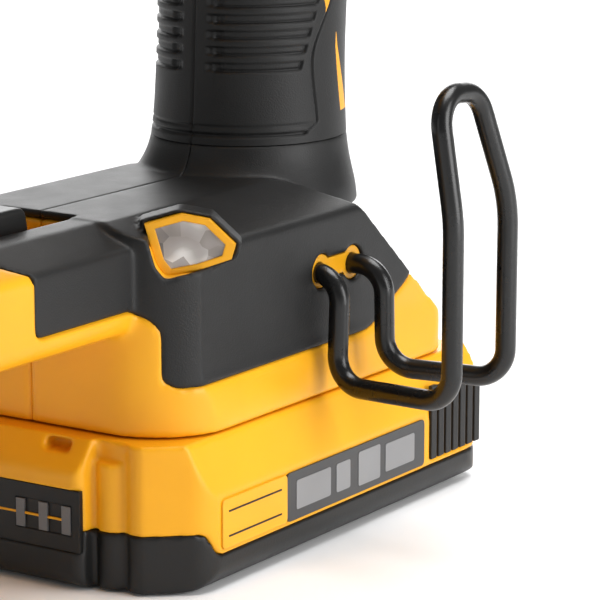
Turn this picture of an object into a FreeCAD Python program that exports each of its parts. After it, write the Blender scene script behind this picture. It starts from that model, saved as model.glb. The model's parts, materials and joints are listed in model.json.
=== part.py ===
import FreeCAD, Part
import math
import os
import re

# Cordless brad nailer standing on its battery.
# Z is up along the handle, -Y points the way the brads leave, +X is the side with the belt hook.
# The origin is the middle of the battery's underside.  All sizes are in millimetres.

V = FreeCAD.Vector
doc = FreeCAD.newDocument("brad_nailer")

SIZES = {
    "pack_width": 75, "pack_length": 115, "pack_top": 28, "pack_shoulder": 17.3, "pack_inset": 3.2,
    "pack_skirt": 6.3, "pack_front_skirt": 11, "pack_wall": 2.2, "cell_radius": 9.1, "cell_long": 65,
    "rail_half": 20, "rail_top": 36, "label_low": 7.1, "label_high": 16.7,
    "gauge_half": 17, "gauge_low": 7, "gauge_high": 19,
    "foot_half": 33, "foot_front": 50, "foot_back": 50, "foot_top": 68, "facet": 63.3, "facet_half": 17,
    "corner_round": 16, "skin": 1.6, "wall": 2.5, "black_low": 37.5,
    "arm_half": 24, "arm_top_half": 15, "arm_low": 47.5, "arm_front": 115, "arm_black_low": 52.4,
    "arm_black_front": 78, "wire_radius": 2, "lens_share": 0.77, "brow_share": 1.13, "hook_z": 52, "hook_reach": 65,
    "head_half": 33, "head_low": 192, "head_high": 286, "head_front": 92, "head_back": 66,
    "wheel_y": 44, "wheel_z": 222, "wheel_radius": 24, "shaft_radius": 4, "drive_z": 250,
    "mag_half": 9, "mag_back": 115, "mag_front": 179, "mag_low": 48, "mag_high": 238,
    "nose_tip": 186, "nose_half": 12,
}
sheet = doc.addObject("Spreadsheet::Sheet", "Sizes")
for row, (alias, value) in enumerate(SIZES.items(), 1):
    sheet.set(f"A{row}", alias)
    sheet.set(f"B{row}", str(value))
    sheet.setAlias(f"B{row}", alias)
doc.recompute()


def size(alias):
    """The number in the sheet's cell of that alias."""
    return float(sheet.get(alias))


def bind(piece, prop, text):
    """Bind a property to an expression written in the sheet's aliases."""
    piece.setExpression(prop, re.sub(r"[a-z]\w+", r"Sizes.\g<0>", str(text)))


def box(name, x, y, z):
    """A box between pairs of limits, each a number or an expression."""
    piece = doc.addObject("Part::Box", name)
    for prop, axis, (low, high) in (("Length", "x", x), ("Width", "y", y), ("Height", "z", z)):
        bind(piece, prop, f"({high}) - ({low})")
        bind(piece, f"Placement.Base.{axis}", low)
    return piece


TURN = {"X": FreeCAD.Rotation(V(0, 1, 0), 90), "Y": FreeCAD.Rotation(V(1, 0, 0), -90),
        "Z": FreeCAD.Rotation()}


def rod(name, axis, radius, along, centre):
    """A cylinder along X, Y or Z between two limits; centre gives its two other coordinates."""
    piece = doc.addObject("Part::Cylinder", name)
    piece.Placement = FreeCAD.Placement(V(), TURN[axis])
    bind(piece, "Radius", radius)
    bind(piece, "Height", f"({along[1]}) - ({along[0]})")
    bind(piece, f"Placement.Base.{axis.lower()}", along[0])
    for other, value in zip([a for a in "xyz" if a != axis.lower()], centre):
        bind(piece, f"Placement.Base.{other}", value)
    return piece


def outline_edges(points):
    """Straight lines through points (a, b), with an arc at each point that gives a third value, its radius."""
    corners = []
    for i, (a, b, *radius) in enumerate(points):
        here = V(a, b, 0)
        before = V(*points[i - 1][:2], 0) - here
        after = V(*points[(i + 1) % len(points)][:2], 0) - here
        if not radius:
            corners.append((here, None, here))
            continue
        half = before.getAngle(after) / 2
        back = radius[0] / math.tan(half)
        before.normalize()
        after.normalize()
        middle = here + (before + after).normalize() * (radius[0] / math.sin(half) - radius[0])
        corners.append((here + before * back, middle, here + after * back))
    edges = []
    for i, (start, middle, end) in enumerate(corners):
        if middle:
            edges.append(Part.Arc(start, middle, end))
        edges.append(Part.LineSegment(end, corners[(i + 1) % len(corners)][0]))
    return edges


def prism(name, plane, points, low, high):
    """A body padded from an outline on the XY, XZ or YZ plane, between two limits along the third axis."""
    body = doc.addObject("PartDesign::Body", name)
    sketch = body.newObject("Sketcher::SketchObject", name + "_sketch")
    origin = next(f for f in body.Origin.OriginFeatures if f.Role == plane + "_Plane")
    sketch.AttachmentSupport = [(origin, "")]
    sketch.MapMode = "FlatFace"
    sketch.addGeometry(outline_edges(points))
    pad = body.newObject("PartDesign::Pad", name + "_pad")
    pad.Profile = sketch
    # the XZ plane's normal is -Y, so there the pad starts at the high limit
    bind(sketch, "AttachmentOffset.Base.z", f"-({high})" if plane == "XZ" else low)
    bind(pad, "Length", f"({high}) - ({low})")
    return body


def fuse(name, *pieces):
    whole = doc.addObject("Part::MultiFuse", name)
    whole.Shapes = list(pieces)
    return whole


def cut(name, base, *tools):
    piece = doc.addObject("Part::Cut", name)
    piece.Base = base
    piece.Tool = tools[0] if len(tools) == 1 else fuse(name + "_tools", *tools)
    return piece


def common(name, first, *others):
    for i, other in enumerate(others):
        piece = doc.addObject("Part::Common", name if i == len(others) - 1 else f"{name}_{i}")
        piece.Base, piece.Tool = first, other
        first = piece
    return first


def mirrored(name, piece):
    """The same piece on the other side of the nailer's middle plane."""
    other = doc.addObject("Part::Mirroring", name)
    other.Source, other.Base, other.Normal = piece, V(), V(1, 0, 0)
    return other


def group(name, *pieces):
    """Separate solids that share one node."""
    whole = doc.addObject("Part::Compound", name)
    whole.Links = list(pieces)
    return whole


def shaped(name, shape):
    piece = doc.addObject("Part::Feature", name)
    piece.Shape = shape
    return piece


def oval_loft(name, sections):
    """A loft through ovals, each given as (z, y of its middle, half width in X, half depth in Y)."""
    ovals = []
    for i, (z, y, wide, deep) in enumerate(sections):
        oval = doc.addObject("Part::Ellipse", f"{name}_oval_{i}")
        turned = FreeCAD.Rotation(V(0, 0, 1), 90 if deep > wide else 0)
        oval.MajorRadius, oval.MinorRadius = max(wide, deep), min(wide, deep)
        oval.Placement = FreeCAD.Placement(V(0, y, z), turned)
        ovals.append(oval)
    loft = doc.addObject("Part::Loft", name)
    loft.Sections, loft.Solid = ovals, True
    return loft


nodes = []


def node(label, piece):
    """Name a finished sub-part, which is written to a file of that name."""
    piece.Label = label
    nodes.append(piece)
    return piece


RIGHT = box("right_side", (0, 150), (-250, 250), (-10, 400))


def halves(label, whole):
    """A shell as its right and left halves, which meet on the middle plane."""
    node(label + "_right", common(label + "_half", whole, RIGHT))
    node(label + "_left", cut(label + "_other_half", whole, RIGHT))


# ---------------------------------------------------------------- battery
CONTACTS = (-12, -4, 4, 12)  # x of each blade and its contact


def battery_outside():
    half, long, top = size("pack_width") / 2, size("pack_length") / 2, size("pack_top")
    inset, shoulder = size("pack_inset"), size("pack_shoulder")
    plan = [(half, -45, 8), (27, -54, 3), (24, -52.5), (17.5, -52), (16.8, -long, 2)]
    plan = plan + [(-x, y, *r) for x, y, *r in reversed(plan)]
    plan = [(-half, long, 9), (half, long, 9)] + plan
    across = [(-half, 0, 4), (half, 0, 4), (half, shoulder, 6), (half - inset, top)]
    across = across + [(inset - half, top), (-half, shoulder, 6)]
    along = [(-long, 0, 3), (long - 2, 0, 7), (long, 16, 5), (long - 5, top), (4 - long, top), (-long, 22, 3)]
    box_of = common("pack_outside", prism("pack_plan", "XY", plan, 0, "pack_top"),
                    prism("pack_across", "XZ", across, "-pack_length", "pack_length"),
                    prism("pack_along", "YZ", along, "-pack_width", "pack_width"))
    pillars = [rod(f"pack_pillar_{side}", "Z", 3.4, (0, 24), (side * 20.4, -51)) for side in (-1, 1)]
    return fuse("pack_body", box_of, *pillars)


def battery():
    outside = battery_outside()
    half, long = size("pack_width") / 2, size("pack_length") / 2
    hollow = box("pack_hollow", ("-cell_long / 2 - 0.5", "cell_long / 2 + 0.5"),
                 (-46.2, "pack_length / 2 - pack_wall - 5"), ("pack_wall", "pack_top - pack_wall - 1"))
    skirt_top, front_top = size("pack_skirt"), size("pack_front_skirt")
    skirt = [(-long - 2, -1), (long + 2, -1), (long + 2, skirt_top), (-42, skirt_top, 3),
             (-45, front_top, 2), (-long - 2, front_top)]
    skirt_zone = prism("skirt_zone", "YZ", skirt, "-pack_width", "pack_width")
    gauge_hole = box("gauge_hole", ("-gauge_half", "gauge_half"), (-60, -56.3), ("gauge_low", "gauge_high"))
    button_hole = box("gauge_button_hole", (-12.3, -5.7), (-57, -45), (9.7, 16.3))
    latch_hole = box("latch_hole", (-14.4, 14.4), (47.6, 60), (12.6, 40))
    tooth_hole = box("tooth_hole", (-6.4, 6.4), (41.5, 48), (21.6, 40))
    slots = [box(f"contact_slot_{i}", (x - 1, x + 1), (-42, -8), (29, 40)) for i, x in enumerate(CONTACTS)]
    neck = box("rail_neck", ("4 - rail_half", "rail_half - 4"), (-38, 40), (27, 32))
    flange = box("rail_flange", ("-rail_half", "rail_half"), (-38, 40), (31.6, "rail_top"))
    label_sides, grip_sides = ((-40, -37.1), (37.1, 40)), ((-40, -36.9), (36.9, 40))
    label_bed = [box(f"label_bed_{i}", x, (-41.2, 31), ("label_low - 0.2", "label_high + 0.2"))
                 for i, x in enumerate(label_sides)]
    grip_bed = [box(f"grip_bed_{i}", x, (33, 54), (7.2, 24)) for i, x in enumerate(grip_sides)]
    notches = [box(f"front_notch_{i}", x, (-60, -50.8), (25.2, 27.4))
               for i, x in enumerate(((6.8, 12.9), (-12.9, -6.8)))]
    shell = cut("pack_shell", outside, hollow, gauge_hole, button_hole, latch_hole, *notches)
    node("battery_lower_shell", common("pack_lower", shell, skirt_zone))
    upper = fuse("pack_upper_whole", cut("pack_upper", shell, skirt_zone, tooth_hole), neck, flange)
    node("battery_upper_shell", cut("pack_upper_cut", upper, *slots, *label_bed, *grip_bed))
    cells = [rod(f"cell_{i}", "X", "cell_radius", ("-cell_long / 2", "cell_long / 2"),
                 (-36.6 + 18.6 * i, 12.2)) for i in range(5)]
    node("battery_cells", group("cells", *cells))
    contacts = [box(f"contact_{i}", (x - 0.9, x + 0.9), (-13.6, -8.2), (29.2, 33))
                for i, x in enumerate(CONTACTS)]
    node("battery_contacts", group("contacts", *contacts))
    labels = [box(f"label_{i}", x, (-41, 30.8), ("label_low", "label_high"))
              for i, x in enumerate(((37.1, 37.8), (-37.8, -37.1)))]
    node("battery_labels", group("labels", *labels))
    ribs = []
    for side in (-1, 1):
        limits = sorted((side * 37, side * 37.8))
        ribs += [box(f"grip_rib_{side}_{i}", limits, (33.4 + 2.9 * i, 35.4 + 2.9 * i), (7.6, 23 - 0.35 * i))
                 for i in range(7)]
    node("battery_side_grips", group("side_grips", *ribs))
    panel = box("gauge_plate", ("-gauge_half + 0.1", "gauge_half - 0.1"), (-57.3, -56.3),
                ("gauge_low + 0.1", "gauge_high - 0.1"))
    bars = [box(f"bar_{i}", (2.1 + 5.35 * i, 4.1 + 5.35 * i), (-57.45, -57), (10.3, 15.7)) for i in range(3)]
    button_window = box("button_window", (-12.2, -5.8), (-60, -50), (9.8, 16.2))
    bar_bed = box("bar_bed", (1.9, 15.1), (-60, -57), (10.1, 15.9))
    node("gauge_panel", cut("gauge_panel_cut", panel, button_window, bar_bed))
    node("gauge_bars", group("bars", *bars))
    node("gauge_button", box("button_of_gauge", (-12, -6), (-57.5, -52), (10, 16)))
    pad = prism("release_pad", "YZ", [(48, 16), (57, 16, 1), (57, 24, 2), (52, 30.4, 1), (48, 30.4)], -14, 14)
    node("battery_release", fuse("release", pad, box("release_tooth", (-6, 6), (42, 48.5), (25, 31))))


# ---------------------------------------------------------------- foot, handle and head shells
def foot_outside(inset):
    """The foot's main block and its forward arm, both this much smaller all round."""
    half, front, back = (size(k) - inset for k in ("foot_half", "foot_front", "foot_back"))
    top, facet, flat = size("foot_top") - inset, size("facet") - inset / 2, size("facet_half") - inset
    low = size("pack_top") + 0.3
    along = [(-front, low), (-front, top, 2), (8 - inset, top, 9), (46 - inset, 35 - inset / 2, 9),
             (back, low)]
    across = [(half + 1.5, low), (half, 40), (half, facet, 2), (flat, top, 3)]
    across = across + [(-x, *rest) for x, *rest in reversed(across)]
    corner = size("corner_round") - inset
    plan = [(-half - 1.5, -front, corner), (half + 1.5, -front, corner), (half + 1.5, back, 12 - inset),
            (-half - 1.5, back, 12 - inset)]
    tag = "outer" if not inset else "inner"
    main = common(f"foot_main_{tag}", prism(f"foot_along_{tag}", "YZ", along, -60, 60),
                  prism(f"foot_across_{tag}", "XZ", across, -80, 80),
                  prism(f"foot_plan_{tag}", "XY", plan, 20, 80))
    wide, flat, under = size("arm_half") - inset, size("arm_top_half") - inset / 2, size("arm_low") + inset
    section = [(wide, under, 4), (wide, 63.8 - inset / 2, 1.5), (flat, top - 0.2, 2)]
    section = section + [(-x, *rest) for x, *rest in reversed(section)]
    return main, prism(f"arm_{tag}", "XZ", section, "-arm_front", -35)


# the handle's ovals: height, y of the middle, half width in X, half depth in Y
HANDLE = [(60, 20, 23, 25), (66, 20.6, 22, 23.4), (69, 21.8, 20.8, 21.8), (74, 22.8, 19.6, 20.6),
          (90, 23.6, 18.7, 20.2), (125, 25.5, 18.9, 20.6), (160, 26.5, 18.4, 20.4), (182, 25, 19.5, 22),
          (200, 22, 23, 27)]


def handle_outside(tag, inset):
    return oval_loft(f"handle_{tag}", [(z, y, wide - inset, deep - inset) for z, y, wide, deep in HANDLE])


def head_outside(tag, inset):
    half, high, low = size("head_half") - inset, size("head_high") - inset, size("head_low") + inset
    front, back = size("head_front") - inset, size("head_back") - inset
    along = [(-front, 200, 6), (-front, 268, 8), (-66, high, 16), (40, high, 26), (back, 258, 14),
             (back, 226, 14), (44, low, 10), (-20, low, 10), (-44, low - 1, 18), (-70, low - 1, 16)]
    across = [(19, low - 3, 6), (half, 208, 14), (half, 262, 16), (20, high + 1, 8)]
    across = across + [(-x, *rest) for x, *rest in reversed(across)]
    return common(f"head_{tag}", prism(f"head_along_{tag}", "YZ", along, -60, 60),
                  prism(f"head_across_{tag}", "XZ", across, -120, 100))


def lamp_prism(name, outline, near, far):
    """A prism that looks forward and sideways, out of the foot's upper front corner."""
    turn = FreeCAD.Rotation(V(0.834, 0.552, 0), V(0, 0, 1), V(0.552, -0.834, 0), "ZXY")
    wire = Part.makePolygon([V(a, b, near) for a, b in outline + outline[:1]])
    solid = Part.Face(wire).extrude(V(0, 0, far - near))
    solid.Placement = FreeCAD.Placement(V(30.4, -40.6, 64), turn)
    return shaped(name, solid)


def shells():
    main, arm = foot_outside(0)
    main_core, arm_core = foot_outside(size("skin"))
    handle, handle_core = handle_outside("outer", 0), handle_outside("core", size("skin"))
    head, head_core = head_outside("outer", 0), head_outside("core", size("skin"))
    foot = fuse("foot_outer", main, arm, handle)
    foot_core = fuse("foot_core", main_core, arm_core, handle_core)

    front, low = size("arm_black_front"), size("black_low")
    rubber = [(-front - 10, 74), (-front - 10, 68), (-front, 63.6), (-front, size("arm_black_low"), 2),
              (-46.5, size("arm_black_low"), 5), (-46.5, low, 3), (17, low, 14), (33, 46, 8), (43, 74)]
    foot_zone = prism("foot_rubber_zone", "YZ", rubber, -60, 60)
    grip_zone = box("grip_zone", (-60, 60), (-60, 90), (74, 191))
    cap_zone = prism("cap_zone", "YZ", [(40, 195), (34, 262, 10), (48, 300), (90, 300), (90, 195)], -60, 60)
    lamp = [(-8.3, 3.8), (-1.6, 5.7), (3.6, 4.7), (8.4, 0),
            (7.6, -2.7), (1.7, -4.7), (-4.5, -5.9), (-6.2, -3.7)]
    lens = [(size("lens_share") * a, size("lens_share") * b) for a, b in lamp]
    brow = [(size("brow_share") * a, size("brow_share") * b) for a, b in lamp]
    lamp_zone, brows = lamp_prism("lamp_zone", lamp, -6, 12), lamp_prism("brow_zone", brow, -7, -0.7)
    brows = fuse("brow_zones", brows, mirrored("brow_zone_left", brows))
    lamps = fuse("lamp_zones", lamp_zone, mirrored("lamp_zone_left", lamp_zone))

    cavities = [
        prism("foot_hollow", "YZ", [(-46, 40), (-46, 62.5), (4, 62.5), (30, 40)],
              "9 - foot_half", "foot_half - 9"),
        box("arm_hollow", (-19, 19), (-112, -46), (51.5, 59)),
        box("rail_channel", ("-rail_half - 0.5", "rail_half + 0.5"), (-40, 60), (31.3, 36.6)),
        box("rail_mouth", ("3.5 - rail_half", "rail_half - 3.5"), (-40, 60), (20, 31.6)),
        box("release_mouth", (-15, 15), (40, 60), (20, 35)),
        *[rod(f"hook_pocket_{side}_{y}", "X", 3.5, sorted((side * 25.8, side * 40)), (y, 52.2))
          for side in (-1, 1) for y in (0, 11)],
        box("hook_pocket_right", (25.8, 40), (-0.6, 11), (50.4, 54.6)),
        box("hook_pocket_left", (-40, -25.8), (-0.6, 11), (50.4, 54.6)),
        box("selector_well", (-8.6, 8.6), (-84, -46), (61, 80)),
        oval_loft("handle_hollow", [(z, y, wide - 4.2, deep - 4.2) for z, y, wide, deep in HANDLE[1:]]),
        box("trigger_window", (-7.6, 7.6), (-20, 14), (155, 192)),
        head_outside("hollow", size("skin") + size("wall")),
        box("head_mouth", (-24.3, 24.3), (-95, -80), (231.5, 270.5)),
        box("stall_slot", (-6.6, 6.6), (2, 42.5), (270, 300)),
        rod("lock_hole", "X", 4.3, (-60, 60), (12, 198)),
        rod("cover_hole", "X", 26.3, (-60, 60), ("-wheel_y", "wheel_z")),
    ]
    screw_places = [(-30, 44), (12, 33), (-96, 56), (30, 240), (-76, 214), (8, 214), (25, 110), (26, 150)]
    bores = [rod(f"screw_bore_{i}", "X", 2.8, (-60, -13), place) for i, place in enumerate(screw_places)]
    openings = cavities + bores

    yellow_foot = cut("foot_yellow", foot, fuse("foot_dark_zones", foot_zone, grip_zone))
    yellow_head = cut("head_yellow", head, cap_zone)
    yellow = cut("housing_whole", fuse("housing_solid", yellow_foot, foot_core, yellow_head, head_core),
                 *openings, lamps)
    halves("housing", yellow)

    holes = fuse("rubber_holes", lamps, *openings)
    foot_rubber = fuse("foot_rubber_solid", common("foot_rubber_raw", foot, foot_zone), brows)
    foot_rubber = cut("foot_rubber", foot_rubber, foot_core, head, holes)
    halves("foot_overmould", cut("foot_rubber_low", foot_rubber, grip_zone))
    grip = cut("grip_rubber", common("grip_raw", handle, grip_zone), handle_core, head, *openings)
    halves("grip_overmould", grip)
    cap = cut("cap_shell", common("cap_raw", head, cap_zone), head_core, handle, *openings)
    node("head_rear_cap", cap)
    ring_outside = lamp_prism("ring_outside", lamp, -2.6, 0.3)
    ring_inside = lamp_prism("ring_inside", lens, -3, 1)
    ring = cut("lamp_ring", ring_outside, ring_inside)
    window = lamp_prism("lens_piece", lens, -2.6, -0.1)
    node("worklight_bezels", group("bezels", ring, mirrored("bezel_left", ring)))
    node("worklight_lenses", group("lenses", window, mirrored("lens_left", window)))
    screws = []
    for i, place in enumerate(screw_places):
        y, z = place
        outside = -17 if 100 < z < 160 else (-23.2 if y == -96 else -32.4)
        inside = outside + (5 if z > 100 else 4)
        screws.append(rod(f"case_screw_{i}", "X", 2.5, (outside, inside), place))
    node("housing_screws", group("case_screws", *screws))


# ---------------------------------------------------------------- foot fittings
def bent_wire(points, radius, bend):
    """A round wire through points, with an arc of the given bend radius at each inner point."""
    edges, start = [], V(*points[0])
    for i in range(1, len(points) - 1):
        here = V(*points[i])
        back = (V(*points[i - 1]) - here).normalize()
        ahead = (V(*points[i + 1]) - here).normalize()
        half = back.getAngle(ahead) / 2
        reach = bend[i - 1] / math.tan(half)
        middle = here + (back + ahead).normalize() * (bend[i - 1] / math.sin(half) - bend[i - 1])
        edges.append(Part.LineSegment(start, here + back * reach).toShape())
        edges.append(Part.Arc(here + back * reach, middle, here + ahead * reach).toShape())
        start = here + ahead * reach
    edges.append(Part.LineSegment(start, V(*points[-1])).toShape())
    path = Part.Wire(edges)
    circle = Part.Wire(Part.makeCircle(radius, V(*points[0]), V(*points[1]) - V(*points[0])))
    return path.makePipeShell([circle], True, True)


def foot_fittings():
    level, reach = size("hook_z"), size("hook_reach")
    route = [(27.5, -0.6, level), (37.5, -0.8, level), (37.5, -2, 30.6), (reach, -4.8, 31.2),
             (reach, -4.8, 66), (61.4, -5, 89.5), (61.8, 8.8, 88.8), (reach, 15.6, 67),
             (reach, 15.4, 32), (40, 11.6, 32), (40, 11, level), (27.5, 11, level)]
    bends = [5.5, 6, 6, 40, 6.4, 6.6, 30, 6, 6, 5.5]
    node("belt_hook", shaped("hook", bent_wire(route, size("wire_radius"), bends)))
    sleeve = [rod(f"hook_sleeve_{y}", "X", 3.3, (26, 32.4), (y, 52.2)) for y in (0, 11)]
    block = fuse("hook_block", box("hook_bridge", (26, 32.4), (-0.6, 11), (50.6, 54.4)), *sleeve)
    bores = [rod(f"hook_bore_{i}", "X", "wire_radius + 0.1", (0, 60), (y, "hook_z"))
             for i, y in enumerate((-0.6, 11))]
    socket = cut("hook_socket", block, *bores)
    node("hook_sockets", group("sockets", socket, mirrored("hook_socket_left", socket)))
    selector = [(-76, 61.5), (-76, 71.4, 2), (-59, 71.4, 2), (-57, 61.5)]
    node("mode_selector", prism("selector", "YZ", selector, -7, 7))
    board = box("board", (-22, 22), (-42, 10), (42, 44))
    parts = ((-20, -36, 3), (-8, -30, 4), (6, -34, 3), (-4, -8, 12), (10, -10, 8))
    chips = [box(f"chip_{i}", (x, x + 7), (y, y + 9), (44, 44 + tall)) for i, (x, y, tall) in enumerate(parts)]
    node("controller_board", fuse("board_whole", board, *chips))
    block = box("terminal_base", (-17, 17), (-39.6, -38.4), (32, 36.2))
    blades = [box(f"blade_{i}", (x - 0.4, x + 0.4), (-38.6, -16), (32.4, 35.6))
              for i, x in enumerate(CONTACTS)]
    node("terminal_block", fuse("terminals", block, *blades))
    node("trigger_switch", box("switch", (-6, 6), (22, 34), (160, 182)))


# ---------------------------------------------------------------- drive in the head
def drive():
    y, z = "-wheel_y", "wheel_z"
    rim = cut("rim", rod("rim_out", "X", "wheel_radius", (-9, 9), (y, z)),
              rod("rim_in", "X", 20, (-10, 10), (y, z)))
    web = cut("web", rod("web_out", "X", 20, (7, 9), (y, z)),
              rod("web_in", "X", "shaft_radius", (0, 10), (y, z)))
    node("flywheel", fuse("flywheel_whole", rim, web))
    node("rotor_magnets", cut("magnets", rod("magnet_out", "X", 20, (-8, 6.5), (y, z)),
                              rod("magnet_in", "X", 18, (-9, 8), (y, z))))
    node("flywheel_shaft", rod("shaft", "X", "shaft_radius", (-27, 27), (y, z)))
    bearing = cut("bearing", rod("bearing_out", "X", 9, (12, 17), (y, z)),
                  rod("bearing_in", "X", "shaft_radius + 0.05", (0, 40), (y, z)))
    node("shaft_bearings", group("bearings", bearing, mirrored("bearing_left", bearing)))
    core = cut("stator_core", rod("stator_out", "X", 17.4, (-7, 5.5), (y, z)),
               rod("stator_in", "X", 4.6, (-9, 9), (y, z)))
    slots = []
    for i in range(12):
        slot = doc.addObject("Part::Box", f"winding_gap_{i}")
        slot.Length, slot.Width, slot.Height = 14, 2.4, 8
        turn = FreeCAD.Rotation(V(1, 0, 0), 30 * i)
        centre = V(0, -size("wheel_y"), size("wheel_z"))
        slot.Placement = FreeCAD.Placement(centre + turn.multVec(V(-8, -1.2, 10)), turn)
        slots.append(slot)
    node("stator", cut("stator_cut", core, *slots))
    disc = rod("cover_disc", "X", 26, (30, 36.5), (y, z))
    hollow = rod("cover_hollow", "X", 23.5, (29, 34), (y, z))
    vents = [box(f"vent_{i}", (33, 40), (-62, -26), (208 + 6.5 * i, 211 + 6.5 * i)) for i in range(5)]
    cover = cut("cover_cut", disc, hollow, *vents)
    node("motor_covers", group("covers", cover, mirrored("cover_left", cover)))

    profile = prism("profile", "YZ", [(-55, 246.6), (24, 246.6), (24, 254), (-50, 254)], -5, 5)
    ears = box("ears", (-18, 18), (16, 22), (247, 253.5))
    guides = [rod(f"guide_bore_{side}", "Y", 2.6, (0, 60), (side * 13, "drive_z")) for side in (-1, 1)]
    node("driver_profile", cut("profile_cut", fuse("profile_whole", profile, ears), *guides))
    node("driver_blade", box("blade", (-1.2, 1.2), (-121, -55), (249, 252)))
    rods = [rod(f"guide_{side}", "Y", 2.5, (-90.5, 46), (side * 13, "drive_z")) for side in (-1, 1)]
    node("guide_rods", group("guides", *rods))
    node("rod_carrier", box("rod_carrier_rear", (-20, 20), (46, 52), (243, 257)))
    springs = []
    for side in (-1, 1):
        helix = Part.makeHelix(6.6, 92, 4.2)
        wire = Part.Wire(helix.Edges)
        ring = Part.Wire(Part.makeCircle(0.5, V(4.2, 0, 0), V(0, 1, 0)))
        coil = wire.makePipeShell([ring], True, True)
        coil.Placement = FreeCAD.Placement(V(side * 13, -78, size("drive_z")), TURN["Y"])
        springs.append(shaped(f"spring_{side}", coil))
    node("return_springs", group("springs", *springs))
    node("bumpers", group("bumper_pads", *[
        cut(f"bumper_{side}", rod(f"bumper_out_{side}", "Y", 5.5, (-86, -79.5), (side * 13, "drive_z")),
            rod(f"bumper_in_{side}", "Y", 2.6, (-90, -70), (side * 13, "drive_z"))) for side in (-1, 1)]))

    arm = prism("arm_plate", "YZ", [(-50, 262), (-38, 262), (0, 264), (2, 270), (-6, 273), (-40, 268)], -6, 6)
    hollow = box("arm_gap", (-3.7, 3.7), (-60, -35), (250, 280))
    node("activation_arm", cut("activation", arm, hollow, rod("arm_bore", "X", 2.08, (-20, 20), (-3, 268)),
                               rod("roller_bore", "X", 1.58, (-20, 20), ("-wheel_y", 264.4))))
    node("pinch_roller", fuse("roller", rod("roller_pin", "X", 1.5, (-6, 6), ("-wheel_y", 264.4)),
                              rod("roller_tyre", "X", 6.6, (-3.3, 3.3), ("-wheel_y", 264.4))))
    node("arm_pin", rod("pin_of_arm", "X", 2, (-24, 24), (-3, 268)))
    coil_box = box("coil_out", (-9, 9), (10, 38), (258, 269.6))
    node("solenoid", cut("coil", coil_box, rod("coil_in", "Y", 3.5, (0, 60), (0, 264))))
    node("solenoid_plunger", rod("plunger", "Y", 3.2, (4.6, 34), (0, 264)))


# ---------------------------------------------------------------- nose, magazine and controls
def nose():
    block = box("nose_block", ("-nose_half", "nose_half"), ("-nose_tip", -95), (238.5, 262))
    flange = box("nose_flange", (-24, 24), (-97, -91), (232, 270))
    channel = box("blade_channel", (-1.6, 1.6), (-250, -80), (248.6, 252.4))
    wide = box("profile_channel", (-8, 8), (-130, -80), (245.6, 256))
    feed = box("feed_slot", (-1, 1), (-178, -120), (230, 249))
    bolts = [(x, z) for x in (-19, 19) for z in (237, 265)]
    bores = [rod(f"bolt_bore_{i}", "Y", 2.1, (-98, -80), place) for i, place in enumerate(bolts)]
    node("nose_frame", cut("nose_cut", fuse("nose_whole", block, flange), channel, wide, feed, *bores))
    shanks = [rod(f"bolt_{i}", "Y", 2, (-97, -92), place) for i, place in enumerate(bolts)]
    heads = [rod(f"bolt_head_{i}", "Y", 3.6, (-100.2, -97), place) for i, place in enumerate(bolts)]
    whole = [fuse(f"bolt_whole_{i}", shanks[i], heads[i]) for i in range(len(bolts))]
    node("nose_bolts", group("bolts", *whole))
    door = box("door_plate", (-10, 10), (-184, -122), (262.3, 266))
    barrel = rod("door_barrel", "X", 3, (-6, 6), (-117, 265.6))
    link = box("door_link", (-6, 6), (-122.5, -117), (263, 267))
    door_bore = rod("door_bore", "X", 1.58, (-20, 20), (-117, 265.6))
    node("nose_door", cut("door", fuse("door_whole", door, barrel, link), door_bore))
    ears = [box(f"door_ear_{i}", x, (-120, -112), (262, 268)) for i, x in enumerate(((-10, -6.4), (6.4, 10)))]
    pin = rod("door_pin", "X", 1.5, (-9.9, 9.9), (-117, 265.6))
    node("door_hinge", fuse("door_hinge_whole", *ears, pin))
    lever = [(-176, 266.4), (-150, 266.4), (-146, 269), (-150, 271), (-176, 270)]
    pivot = rod("latch_pivot", "X", 1.4, (-8.5, 8.5), (-148.5, 268.5))
    node("door_latch", fuse("latch_whole", prism("latch_lever", "YZ", lever, -7, 7), pivot))

    plate = box("trip_plate", (-14.4, -12.4), (-191, -112), (243.5, 251.5))
    brackets = [box(f"trip_bracket_{i}", (-23.6, -12.4), y, (244.5, 250.5))
                for i, y in enumerate(((-150, -147), (-115, -112)))]
    stud_x, stud_z, wheel_radius = -21.2, 247.5, 6.3
    stud = rod("trip_stud", "Y", 2, (-148, -114), (stud_x, stud_z))
    node("contact_trip", fuse("trip_whole", plate, *brackets, stud))
    knurl = []
    for i in range(12):
        turn = math.radians(30 * i)
        place = (stud_x + wheel_radius * math.cos(turn), stud_z + wheel_radius * math.sin(turn))
        knurl.append(rod(f"knurl_{i}", "Y", 0.8, (-141, -131), place))
    wheel = rod("wheel_out", "Y", wheel_radius, (-141, -131), (stud_x, stud_z))
    bore = rod("wheel_bore", "Y", 2.06, (-150, -120), (stud_x, stud_z))
    node("depth_wheel", cut("wheel", wheel, bore, *knurl))
    stem = box("foot_stem", (-17, -14.7), (-197, -152.5), (244.5, 250.5))
    shoe = box("shoe", (-17, 13), (-200, -194), (242.5, 258))
    shoe_hole = box("shoe_hole", (-3, 3), (-210, -190), (246, 254))
    node("trip_foot", cut("trip_foot_cut", fuse("trip_foot_whole", stem, shoe), shoe_hole))
    pad = box("pad_block", (-11, 11), (-204, -200), (244, 257))
    node("no_mar_pad", cut("pad_cut", pad, box("pad_hole", (-3.4, 3.4), (-210, -190), (245.6, 254.4))))


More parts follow.
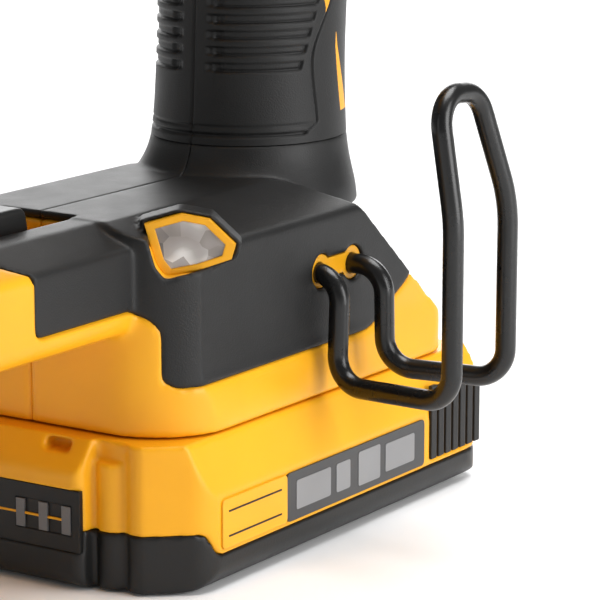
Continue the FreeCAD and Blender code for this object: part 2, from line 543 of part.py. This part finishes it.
def magazine():
    casing = box("casing", ("-mag_half", "mag_half"), ("-mag_front", "-mag_back"), ("mag_low", "mag_high"))
    inside = box("casing_inside", (-5, 5), ("3 - mag_front", "-mag_back - 3"), (52, 260))
    slot = box("knob_slot", (4, 12), (-154, -144), (60, 148))
    window = box("brad_window", (-12, -4), (-160, -138), (150, 220))
    node("magazine_casing", cut("casing_cut", casing, inside, slot, window))
    rails = [box(f"rail_{i}", x, (-175.8, -121), (153, 238)) for i, x in enumerate(((-4.8, -1), (1, 4.8)))]
    node("magazine_rails", group("rails", *rails))
    node("brad_strip", box("brads", (-0.6, 0.6), (-175.6, -122), (150.5, 247.5)))
    pusher = [box("pusher_block", (-4.6, 4.6), (-174, -122), (132, 150)),
              box("pusher_stem", (4, 12), (-152, -146), (138, 144)),
              box("pusher_knob", (9.5, 13), (-156, -142), (135, 147))]
    node("magazine_pusher", fuse("pusher_whole", *pusher))
    node("magazine_end_cap", box("end_cap", (-9.6, 9.6), (-180, -115), (44, 48)))


def controls():
    side = [(-14, 188, 3), (4, 188), (4, 159), (-6, 157, 2), (-8.5, 170, 20)]
    node("trigger", prism("trigger_body", "YZ", side, -7, 7))
    node("lock_off_button", rod("lock_button", "X", 4, (-27, 27), (12, 198)))
    lever = prism("stall_body", "YZ", [(4, 280), (38, 280), (38, 288), (4, 291, 1.5)], -6, 6)
    pivot = rod("stall_pivot", "X", 1.5, (-6.4, 6.4), (36, 284))
    node("stall_release_lever", fuse("stall_whole", lever, pivot))


battery()
shells()
foot_fittings()
drive()
nose()
magazine()
controls()
doc.recompute()

failed = [o.Label for o in doc.Objects if {"Invalid", "Error"} & set(o.State)]
empty = [o.Label for o in nodes if o.Shape.isNull() or not o.Shape.isValid() or not o.Shape.Solids]
if failed or empty:
    raise RuntimeError(f"failed: {failed}; not valid: {empty}")
os.makedirs("parts", exist_ok=True)
for piece in nodes:
    piece.Shape.exportStep(f"parts/{piece.Label}.step")
print(len(nodes), "sub-parts written")
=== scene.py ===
import json
import math

import bpy
import numpy as np
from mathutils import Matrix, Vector


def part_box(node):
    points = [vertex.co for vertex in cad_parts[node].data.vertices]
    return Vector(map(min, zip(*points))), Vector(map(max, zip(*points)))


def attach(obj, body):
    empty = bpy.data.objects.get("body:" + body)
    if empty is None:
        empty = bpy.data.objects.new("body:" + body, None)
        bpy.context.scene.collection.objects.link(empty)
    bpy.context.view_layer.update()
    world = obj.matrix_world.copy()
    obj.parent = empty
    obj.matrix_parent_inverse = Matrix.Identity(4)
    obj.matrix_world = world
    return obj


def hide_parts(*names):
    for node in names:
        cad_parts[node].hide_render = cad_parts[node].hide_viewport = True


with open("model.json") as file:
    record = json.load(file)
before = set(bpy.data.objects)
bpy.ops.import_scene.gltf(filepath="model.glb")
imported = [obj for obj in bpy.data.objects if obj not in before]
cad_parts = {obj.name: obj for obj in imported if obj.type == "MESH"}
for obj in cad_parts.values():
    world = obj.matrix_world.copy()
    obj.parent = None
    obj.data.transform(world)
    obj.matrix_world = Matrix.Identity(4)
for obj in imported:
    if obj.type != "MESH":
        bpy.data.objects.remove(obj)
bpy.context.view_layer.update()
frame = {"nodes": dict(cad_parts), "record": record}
BODY_OF = {node: body for body, names in frame["record"]["behaviour"]["bodies"].items() for node in names}
MM = 0.001


# ---------------------------------------------------------------- materials
def new_material(name):
    """A node material with its principled shader, and the helpers' usual handles."""
    mat = bpy.data.materials.new(name)
    mat.use_nodes = True
    nodes, links = mat.node_tree.nodes, mat.node_tree.links
    return mat, nodes, links, nodes["Principled BSDF"]


def object_noise(nodes, links, scale, detail=3.0, stretch=(1, 1, 1)):
    """Noise in the row frame's metres, so that it stays put on the part."""
    place = nodes.new("ShaderNodeTexCoord")
    mapping = nodes.new("ShaderNodeMapping")
    mapping.inputs["Scale"].default_value = stretch
    noise = nodes.new("ShaderNodeTexNoise")
    noise.inputs["Scale"].default_value = scale
    noise.inputs["Detail"].default_value = detail
    links.new(place.outputs["Object"], mapping.inputs["Vector"])
    links.new(mapping.outputs["Vector"], noise.inputs["Vector"])
    return noise.outputs["Fac"]


def ramp(nodes, links, value, stops):
    """A colour ramp with (position, colour) stops."""
    piece = nodes.new("ShaderNodeValToRGB")
    elements = piece.color_ramp.elements
    while len(elements) < len(stops):
        elements.new(0.5)
    for element, (position, colour) in zip(elements, stops):
        element.position, element.color = position, (*colour, 1)
    links.new(value, piece.inputs["Fac"])
    return piece.outputs["Color"]


def surface(name, low, high, roughness, grain=(2600, 0.12), mottle=45, metal=0.0, round_edge=0.4, gloss=0.5):
    """A moulded or machined surface: two close tones, uneven gloss, fine grain and softly rounded edges."""
    mat, nodes, links, shader = new_material(name)
    blotch = object_noise(nodes, links, mottle)
    links.new(ramp(nodes, links, blotch, [(0.3, low), (0.7, high)]), shader.inputs["Base Color"])
    spread = nodes.new("ShaderNodeMapRange")
    spread.inputs["To Min"].default_value = roughness - 0.05
    spread.inputs["To Max"].default_value = roughness + 0.06
    links.new(object_noise(nodes, links, mottle * 4), spread.inputs["Value"])
    links.new(spread.outputs["Result"], shader.inputs["Roughness"])
    bump = nodes.new("ShaderNodeBump")
    bump.inputs["Strength"].default_value = grain[1]
    bump.inputs["Distance"].default_value = 0.0002
    links.new(object_noise(nodes, links, grain[0], 2.0), bump.inputs["Height"])
    edge = nodes.new("ShaderNodeBevel")
    edge.samples = 4
    edge.inputs["Radius"].default_value = round_edge * MM
    links.new(edge.outputs["Normal"], bump.inputs["Normal"])
    links.new(bump.outputs["Normal"], shader.inputs["Normal"])
    shader.inputs["Metallic"].default_value = metal
    shader.inputs["Specular IOR Level"].default_value = gloss
    return mat


def lens_painted_reflections():
    """Clear moulding over a faceted reflector: painted reflections in its facets, shards of dark to light
    brown-grey with near-white painted highlights, under a hard gloss.
    """
    mat, nodes, links, shader = new_material("lens_painted_reflections")
    place = nodes.new("ShaderNodeTexCoord")
    mapping = nodes.new("ShaderNodeMapping")
    mapping.inputs["Rotation"].default_value = (0.3, 0.5, 0.7)
    # Voronoi cells are the reflector's facets, each given a painted reflection level
    facet_reflections = nodes.new("ShaderNodeTexVoronoi")
    facet_reflections.inputs["Scale"].default_value = 330
    facet_reflections.inputs["Randomness"].default_value = 0.75
    links.new(place.outputs["Object"], mapping.inputs["Vector"])
    links.new(mapping.outputs["Vector"], facet_reflections.inputs["Vector"])
    shade = nodes.new("ShaderNodeSeparateColor")
    links.new(facet_reflections.outputs["Color"], shade.inputs["Color"])
    blend = nodes.new("ShaderNodeMath")
    blend.operation = "MULTIPLY_ADD"
    blend.inputs[1].default_value = 0.45
    links.new(shade.outputs["Red"], blend.inputs[0])
    links.new(object_noise(nodes, links, 150, 1.0), blend.inputs[2])
    # painted reflections: dark brown-grey facets rising to near-white painted highlights
    stops = [(0.35, (0.06, 0.05, 0.045)), (0.62, (0.20, 0.17, 0.15)), (0.85, (0.36, 0.33, 0.31)),
             (1.0, (0.80, 0.78, 0.75))]
    links.new(ramp(nodes, links, blend.outputs["Value"], stops), shader.inputs["Base Color"])
    shader.inputs["Roughness"].default_value = 0.28
    shader.inputs["Coat Weight"].default_value = 1.0
    shader.inputs["Coat Roughness"].default_value = 0.03
    return mat


YELLOW = surface("yellow_shell", (0.84, 0.375, 0.008), (0.90, 0.425, 0.011), 0.36, (1800, 0.05),
                 round_edge=0.5, gloss=0.34)
RUBBER = surface("black_overmould", (0.007, 0.007, 0.007), (0.010, 0.010, 0.010), 0.47, (3200, 0.30),
                 round_edge=0.5, gloss=0.36)
BLACK = surface("black_plastic", (0.007, 0.007, 0.007), (0.010, 0.010, 0.010), 0.36, (2200, 0.10), gloss=0.34)
HOOK = surface("hook_coating", (0.004, 0.004, 0.004), (0.006, 0.006, 0.006), 0.27, (1500, 0.06),
               round_edge=0.2)
STEEL = surface("plain_steel", (0.30, 0.30, 0.31), (0.40, 0.40, 0.41), 0.30, (1200, 0.05), metal=1.0,
                round_edge=0.25)
ALLOY = surface("cast_alloy", (0.22, 0.225, 0.23), (0.29, 0.295, 0.30), 0.46, (1400, 0.2), metal=1.0,
                round_edge=0.5)
GREY = surface("magazine_plastic", (0.017, 0.017, 0.018), (0.024, 0.024, 0.025), 0.40, (2200, 0.12),
               round_edge=0.6)
BAR = surface("gauge_light_pipe", (0.10, 0.10, 0.105), (0.14, 0.14, 0.145), 0.35, (900, 0.03), round_edge=0.1)
LABEL = surface("label_film", (0.030, 0.030, 0.032), (0.038, 0.038, 0.040), 0.34, (900, 0.02),
                round_edge=0.15)
LINE = surface("label_grey_print", (0.20, 0.20, 0.205), (0.25, 0.25, 0.255), 0.34, (900, 0.02),
               round_edge=0.05)
BRASS = surface("contact_brass", (0.72, 0.50, 0.20), (0.80, 0.58, 0.26), 0.32, metal=1.0, round_edge=0.1)
GREEN = surface("board", (0.01, 0.10, 0.04), (0.02, 0.14, 0.06), 0.4, round_edge=0.1)
SLEEVE = surface("cell_sleeve", (0.02, 0.10, 0.32), (0.03, 0.14, 0.40), 0.35, round_edge=0.3)
# the lamp lens, whose reflector facets carry painted reflections
LENS_PAINTED_REFLECTIONS = lens_painted_reflections()

BY_SLOT = {"shell_yellow": YELLOW, "rubber_black": RUBBER, "plastic_black": BLACK, "lens_clear": LENS_PAINTED_REFLECTIONS,
           "hook_black": HOOK, "steel": STEEL, "alloy": ALLOY, "magazine_grey": GREY, "cell_sleeve": SLEEVE,
           "brass": BRASS, "board_green": GREEN, "bar_grey": BAR, "label_grey": LABEL, "magnet": ALLOY}
SLOT_OF = {part["node"]: part["material_slot"] for part in frame["record"]["subparts"]}


def dress(piece, material):
    piece.data.materials.clear()
    piece.data.materials.append(material)


for name, piece in frame["nodes"].items():
    dress(piece, BY_SLOT[SLOT_OF[name]])


# ---------------------------------------------------------------- mesh helpers
def add_mesh(name, vertices, faces, material, node_or_body, smooth=True):
    """A mesh piece in metres that rides with a node's body and wears the given material."""
    mesh = bpy.data.meshes.new(name)
    mesh.from_pydata([tuple(v) for v in vertices], [], faces)
    mesh.update()
    if smooth:
        mesh.shade_smooth()
    piece = bpy.data.objects.new(name, mesh)
    bpy.context.scene.collection.objects.link(piece)
    dress(piece, material)
    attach(piece, BODY_OF.get(node_or_body, node_or_body))
    return piece


def softened(node, voxel, rounds, material):
    """The node's own shape remeshed finely and relaxed, so that its edges and inner corners are rounded."""
    source = frame["nodes"][node]
    piece = bpy.data.objects.new(node + "_moulded", source.data.copy())
    bpy.context.scene.collection.objects.link(piece)
    remesh = piece.modifiers.new("fine", "REMESH")
    remesh.mode, remesh.voxel_size, remesh.use_smooth_shade = "VOXEL", voxel * MM, True
    relax = piece.modifiers.new("relax", "SMOOTH")
    relax.factor, relax.iterations = 0.5, rounds
    evaluated = piece.evaluated_get(bpy.context.evaluated_depsgraph_get())
    mesh = bpy.data.meshes.new_from_object(evaluated)
    piece.modifiers.clear()
    piece.data = mesh
    dress(piece, material)
    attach(piece, BODY_OF[node])
    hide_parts(node)
    return piece


# ---------------------------------------------------------------- moulded shells
def moulded_shells():
    for side in ("right", "left"):
        softened(f"housing_{side}", 0.75, 4, YELLOW)
        softened(f"foot_overmould_{side}", 0.45, 6, RUBBER)
    softened("head_rear_cap", 0.7, 5, RUBBER)
    softened("battery_upper_shell", 0.5, 5, YELLOW)
    softened("battery_lower_shell", 0.5, 5, BLACK)
    softened("trigger", 0.5, 5, BLACK)
    softened("battery_release", 0.5, 4, BLACK)
    softened("mode_selector", 0.4, 6, BLACK)


# ---------------------------------------------------------------- handle grip
# the handle's ovals in millimetres: height, y of the middle, half width in X, half depth in Y
HANDLE = [(60, 20, 23, 25), (66, 20.6, 22, 23.4), (69, 21.8, 20.8, 21.8), (74, 22.8, 19.6, 20.6),
          (90, 23.6, 18.7, 20.2), (125, 25.5, 18.9, 20.6), (160, 26.5, 18.4, 20.4), (182, 25, 19.5, 22),
          (200, 22, 23, 27)]
ROW_STEP = 0.24  # height between the grip skin's rows, in millimetres
COLUMNS = 300  # points across half of the handle
RIB_START, RIB_PITCH, RIB_COUNT = 87.8, 3.17, 21  # finger ribs, in millimetres


def handle_section(z):
    """Middle y, half width and half depth of the handle at a height, all in millimetres."""
    heights = [row[0] for row in HANDLE]
    i = int(np.clip(np.searchsorted(heights, z), 1, len(HANDLE) - 1))
    rows = [HANDLE[k] for k in (max(i - 2, 0), i - 1, i, min(i + 1, len(HANDLE) - 1))]
    z0, z1, z2, z3 = (row[0] for row in rows)
    p0, p1, p2, p3 = (np.array(row[1:], float) for row in rows)
    t = (z - z1) / (z2 - z1)
    slope1 = (p2 - p0) / (z2 - z0) * (z2 - z1)
    slope2 = (p3 - p1) / (z3 - z1) * (z2 - z1)
    a, b = 2 * t**3 - 3 * t**2 + 1, t**3 - 2 * t**2 + t
    return a * p1 + b * slope1 + (3 * t**2 - 2 * t**3) * p2 + (t**3 - t**2) * slope2


def smooth_step(value, low, high):
    t = np.clip((value - low) / (high - low), 0, 1)
    return t * t * (3 - 2 * t)


def grip_edge(z):
    """Angle from the front, in degrees, of the soft front part's edge at a height in millimetres."""
    waist = 76 + 3.5 * smooth_step(90 - z, 0, 13) - 9 * smooth_step(78 - z, 0, 2.5)
    return waist + 19 * smooth_step(z, 90, 106) + 12 * smooth_step(z, 106, 150)


def band(value, half, soft):
    """1 within half of zero, fading to 0 over the soft width."""
    return 1 - smooth_step(abs(value), half - soft / 2, half + soft / 2)


def grip_depth(angle, z):
    """How deep the grip's surface is cut, in millimetres; angle is from the front, in degrees, 0 to 180."""
    cut = 0.0
    rib = (z - RIB_START) / RIB_PITCH
    if 0 <= rib < RIB_COUNT:
        # finger ribs start beside the front seam and wrap to the side; the lower ones are shorter
        reach = 66.5 + 0.95 * min(z - RIB_START, 16) + 10 * smooth_step(z, 104, 130)
        inside = smooth_step(angle, 12, 15) * (1 - smooth_step(angle, reach - 1.2, reach + 0.6))
        level = (rib % 1) - 0.5
        cut += 0.35 * inside * band(level, 0.25, 0.10)
        cut += 0.55 * inside * band(level + 0.25, 0.075, 0.09)
        cut += 0.5 * band(angle - reach, 0.7, 1.1) * band(level, 0.25, 0.12)
        cut += 0.55 * band(angle - 14, 4.5, 4) * band(level, 0.24, 0.12)
    edge = grip_edge(z)
    if z > 75.6:
        cut += 0.55 * band(angle - edge, 0.75, 1.2)
    cut += 0.5 * band(z - 75.9, 0.32, 0.4) * (1 - smooth_step(angle, edge - 1, edge + 1))
    cut += 0.22 * band(z - 77.6, 0.2, 0.4) * (1 - smooth_step(angle, edge - 4, edge - 2))
    cut += 0.3 * (1 - smooth_step(angle, 0.35, 1.3))
    return cut


def accent(angle, z):
    """1 on the yellow flashes: a field behind the upper grip and a sliver low at the back; 0 elsewhere."""
    edge = grip_edge(z)
    width = 17 * smooth_step(z, 98.3, 107) * (1 - smooth_step(z, 146, 168))
    field = band(angle - edge + 1 + width / 2, width / 2, 0.6) if width > 0.5 else 0.0
    low = 98.5 + 0.55 * max(92 - z, 0)
    spread = 2.4 + 0.75 * (92.5 - z)
    sliver = band(angle - low - spread / 2, spread / 2, 0.8) if 79 < z < 95 and spread > 0.4 else 0.0
    return max(field, sliver)


def grip(side, node):
    """One half of the grip: a fine skin with ribs, an edge groove and a yellow flash."""
    low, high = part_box(node)[0].z / MM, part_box(node)[1].z / MM
    heights = np.arange(low, high + 0.2, ROW_STEP)
    angles = np.linspace(0, 180, COLUMNS)
    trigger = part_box("trigger")
    vertices, flash = [], []
    for z in heights:
        middle, wide, deep = handle_section(z)
        for angle in angles:
            turn = math.radians(angle)
            shrink = grip_depth(angle, z)
            x = side * (wide - shrink) * math.sin(turn)
            y = middle - (deep - shrink) * math.cos(turn)
            vertices.append((x * MM, y * MM, z * MM))
            flash.append(accent(angle, z))
    faces = []
    window = trigger[1].x + 0.6 * MM
    window_low, window_back = trigger[0].z - 2 * MM, 12 * MM
    for row in range(len(heights) - 1):
        for column in range(COLUMNS - 1):
            a = row * COLUMNS + column
            x, y, z = vertices[a]
            if z > window_low and abs(x) < window and y < window_back:
                continue
            corners = (a, a + 1, a + COLUMNS + 1, a + COLUMNS)
            faces.append(corners if side > 0 else corners[::-1])
    piece = add_mesh(node + "_skin", vertices, faces, GRIP, node)
    layer = piece.data.attributes.new("flash", "FLOAT", "POINT")
    layer.data.foreach_set("value", flash)
    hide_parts(node)


def grip_material():
    """Overmould with the yellow flash mixed in where the skin says."""
    mat = surface("grip_overmould", (0.009, 0.009, 0.009), (0.012, 0.012, 0.012), 0.47, (3200, 0.30),
                  round_edge=0.2, gloss=0.30)
    nodes, links = mat.node_tree.nodes, mat.node_tree.links
    shader = nodes["Principled BSDF"]
    dark = shader.inputs["Base Color"].links[0].from_socket
    flash = nodes.new("ShaderNodeAttribute")
    flash.attribute_name = "flash"
    edge = nodes.new("ShaderNodeMapRange")
    edge.inputs["From Min"].default_value, edge.inputs["From Max"].default_value = 0.4, 0.6
    links.new(flash.outputs["Fac"], edge.inputs["Value"])
    mix = nodes.new("ShaderNodeMix")
    mix.data_type = "RGBA"
    links.new(edge.outputs["Result"], mix.inputs["Factor"])
    links.new(dark, mix.inputs["A"])
    mix.inputs["B"].default_value = (0.84, 0.36, 0.012, 1)
    links.new(mix.outputs["Result"], shader.inputs["Base Color"])
    return mat


GRIP = grip_material()


# ---------------------------------------------------------------- labels, gauge and magazine ribs
def plate(name, x, y_range, z_range, thick, material, node, corner=0.6):
    """A thin plate with rounded corners: a prism along X with its outline in Y and Z, in metres."""
    r = corner * MM
    (y0, y1), (z0, z1) = y_range, z_range
    outline = []
    corners = ((y1 - r, z0 + r, -90), (y1 - r, z1 - r, 0), (y0 + r, z1 - r, 90), (y0 + r, z0 + r, 180))
    for cy, cz, start in corners:
        for step in range(5):
            turn = math.radians(start + 22.5 * step)
            outline.append((cy + r * math.cos(turn), cz + r * math.sin(turn)))
    count = len(outline)
    vertices = [(x, y, z) for y, z in outline] + [(x + thick, y, z) for y, z in outline]
    ring = [(i, (i + 1) % count, count + (i + 1) % count, count + i) for i in range(count)]
    faces = ring + [tuple(range(count))[::-1], tuple(range(count, 2 * count))]
    return add_mesh(name, vertices, faces, material, node, smooth=False)


def labels():
    """Side labels: a dark panel with plain bars, and a yellow tab before it; no lettering."""
    low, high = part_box("battery_labels")
    outer = high.x
    split = low.y + 0.30 * (high.y - low.y)
    for side in (1, -1):
        tag = "right" if side > 0 else "left"
        base = side * (outer - 0.75 * MM)
        thick = side * 0.6 * MM
        z0, z1 = low.z, high.z
        parts = [("tab", (low.y, split), (z0, z1), YELLOW), ("panel", (split, high.y), (z0, z1), LABEL)]
        for kind, y_range, z_range, material in parts:
            piece = plate(f"label_{kind}_{tag}", base, y_range, z_range, thick, material, "battery_labels",
                          1.0)
            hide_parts("battery_labels")
        inner = base + thick
        rise = side * 0.08 * MM
        span = high.y - split
        for i, (start, end) in enumerate(((0.06, 0.30), (0.34, 0.44), (0.50, 0.66), (0.70, 0.92))):
            tall = 0.30 if i != 2 else 0.36
            middle = (z0 + z1) / 2
            half = tall * (z1 - z0)
            plate(f"label_bar_{tag}_{i}", inner, (split + start * span, split + end * span),
                  (middle - half, middle + half), rise, LINE, "battery_labels", 0.5)
        for i, level in enumerate((0.22, 0.72)):
            z = z0 + level * (z1 - z0)
            plate(f"label_rule_{tag}_{i}", inner, (low.y + 2 * MM, split - 2 * MM), (z, z + 0.35 * MM), rise,
                  BLACK, "battery_labels", 0.1)


def gauge_line():
    """Thin yellow line that links the gauge's bars."""
    low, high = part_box("gauge_bars")
    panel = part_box("gauge_panel")
    y, middle, half = panel[0].y - 0.05 * MM, (low.z + high.z) / 2, 0.22 * MM
    x0, x1 = panel[0].x + 2 * MM, high.x - 0.4 * MM
    corners = [(x0, y, middle - half), (x1, y, middle - half), (x1, y, middle + half), (x0, y, middle + half)]
    back = [(x, y + 0.3 * MM, z) for x, y, z in corners]
    faces = [(0, 1, 2, 3), (7, 6, 5, 4), (0, 4, 5, 1), (1, 5, 6, 2), (2, 6, 7, 3), (3, 7, 4, 0)]
    add_mesh("gauge_line", corners + back, faces, YELLOW, "gauge_panel", smooth=False)


def magazine_ribs():
    """Low rounded stiffening ribs on the rear of both of the magazine's sides."""
    low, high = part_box("magazine_casing")
    step, base = 6 * MM, high.x - 0.05 * MM
    y_range = (high.y - 3.5 * step, high.y - step)
    first = low.z + 0.42 * (high.z - low.z)
    for side in (1, -1):
        tag = "right" if side > 0 else "left"
        for i in range(10):
            z = first + i * step
            plate(f"magazine_rib_{tag}_{i}", side * base, y_range, (z - MM, z + MM), side * 0.45 * MM, GREY,
                  "magazine_casing", 0.9)


moulded_shells()
gauge_line()
magazine_ribs()
grip(1, "grip_overmould_right")
grip(-1, "grip_overmould_left")
labels()


# ---------------------------------------------------------------- stage, light and camera
AIM = (0, 0, 0.05)
FLOOR_HALF, FLOOR_LEVEL = 6, -0.0005  # just under the object, in metres
AMBIENT = 0.22  # strength of the white world, apart from what the camera sees of it


def pale_floor():
    """A matt pale floor that brightens away from the object, so that it runs into the white beyond it."""
    mat = surface("floor", (0.93, 0.93, 0.93), (0.96, 0.96, 0.96), 0.8, (60, 0.0), mottle=2)
    nodes, links = mat.node_tree.nodes, mat.node_tree.links
    place = nodes.new("ShaderNodeTexCoord")
    far = nodes.new("ShaderNodeVectorMath")
    far.operation = "LENGTH"
    links.new(place.outputs["Object"], far.inputs[0])
    glow = nodes.new("ShaderNodeMapRange")
    glow.inputs["From Min"].default_value, glow.inputs["From Max"].default_value = 0.35, 1.6
    glow.inputs["To Max"].default_value = 0.75
    links.new(far.outputs["Value"], glow.inputs["Value"])
    shader = nodes["Principled BSDF"]
    shader.inputs["Emission Color"].default_value = (1, 1, 1, 1)
    links.new(glow.outputs["Result"], shader.inputs["Emission Strength"])
    return mat


def stage():
    mesh = bpy.data.meshes.new("floor")
    signs = ((-1, -1), (1, -1), (1, 1), (-1, 1))
    corners = [(a * FLOOR_HALF, b * FLOOR_HALF, FLOOR_LEVEL) for a, b in signs]
    mesh.from_pydata(corners, [], [(0, 1, 2, 3)])
    floor = bpy.data.objects.new("floor", mesh)
    bpy.context.scene.collection.objects.link(floor)
    dress(floor, pale_floor())
    world = bpy.data.worlds.new("studio")
    world.use_nodes = True
    nodes, links = world.node_tree.nodes, world.node_tree.links
    nodes["Background"].inputs["Color"].default_value = (1, 1, 1, 1)
    path = nodes.new("ShaderNodeLightPath")
    level = nodes.new("ShaderNodeMapRange")
    level.inputs["To Min"].default_value, level.inputs["To Max"].default_value = AMBIENT, 1.0
    links.new(path.outputs["Is Camera Ray"], level.inputs["Value"])
    links.new(level.outputs["Result"], nodes["Background"].inputs["Strength"])
    bpy.context.scene.world = world


def soft_light(name, place, aim, width, height, power):
    """An area light that lights the object and is not itself in the picture."""
    data = bpy.data.lights.new(name, "AREA")
    data.shape, data.size, data.size_y, data.energy = "RECTANGLE", width, height, power
    light = bpy.data.objects.new(name, data)
    light.location = place
    light.rotation_euler = (Vector(aim) - Vector(place)).to_track_quat("-Z", "Y").to_euler()
    light.visible_camera = False
    bpy.context.scene.collection.objects.link(light)


def camera():
    """Close view of the foot from the front right, a little above."""
    azimuth, elevation, distance = math.radians(33.5), math.radians(12.3), 0.6417
    back = Vector((math.sin(azimuth) * math.cos(elevation), -math.cos(azimuth) * math.cos(elevation),
                   math.sin(elevation)))
    aim = Vector((0, 0.0417, 0.035))
    data = bpy.data.cameras.new("camera")
    data.lens, data.sensor_width = 181.56, 36
    data.clip_end = 50
    piece = bpy.data.objects.new("camera", data)
    piece.location = aim + back * distance
    piece.rotation_euler = (-back).to_track_quat("-Z", "Y").to_euler()
    bpy.context.scene.collection.objects.link(piece)
    bpy.context.scene.camera = piece


stage()
soft_light("overhead", (0.15, 0.25, 1.2), AIM, 0.8, 0.8, 15)
soft_light("right_side", (1.15, 0.1, 0.35), AIM, 0.7, 0.9, 12)
soft_light("backdrop", (-0.85, 1.3, 0.45), AIM, 1.6, 0.8, 14)
soft_light("front", (-0.3, -1.4, 0.5), AIM, 0.5, 0.7, 1.2)
camera()
bpy.context.scene.view_settings.view_transform = "Standard"
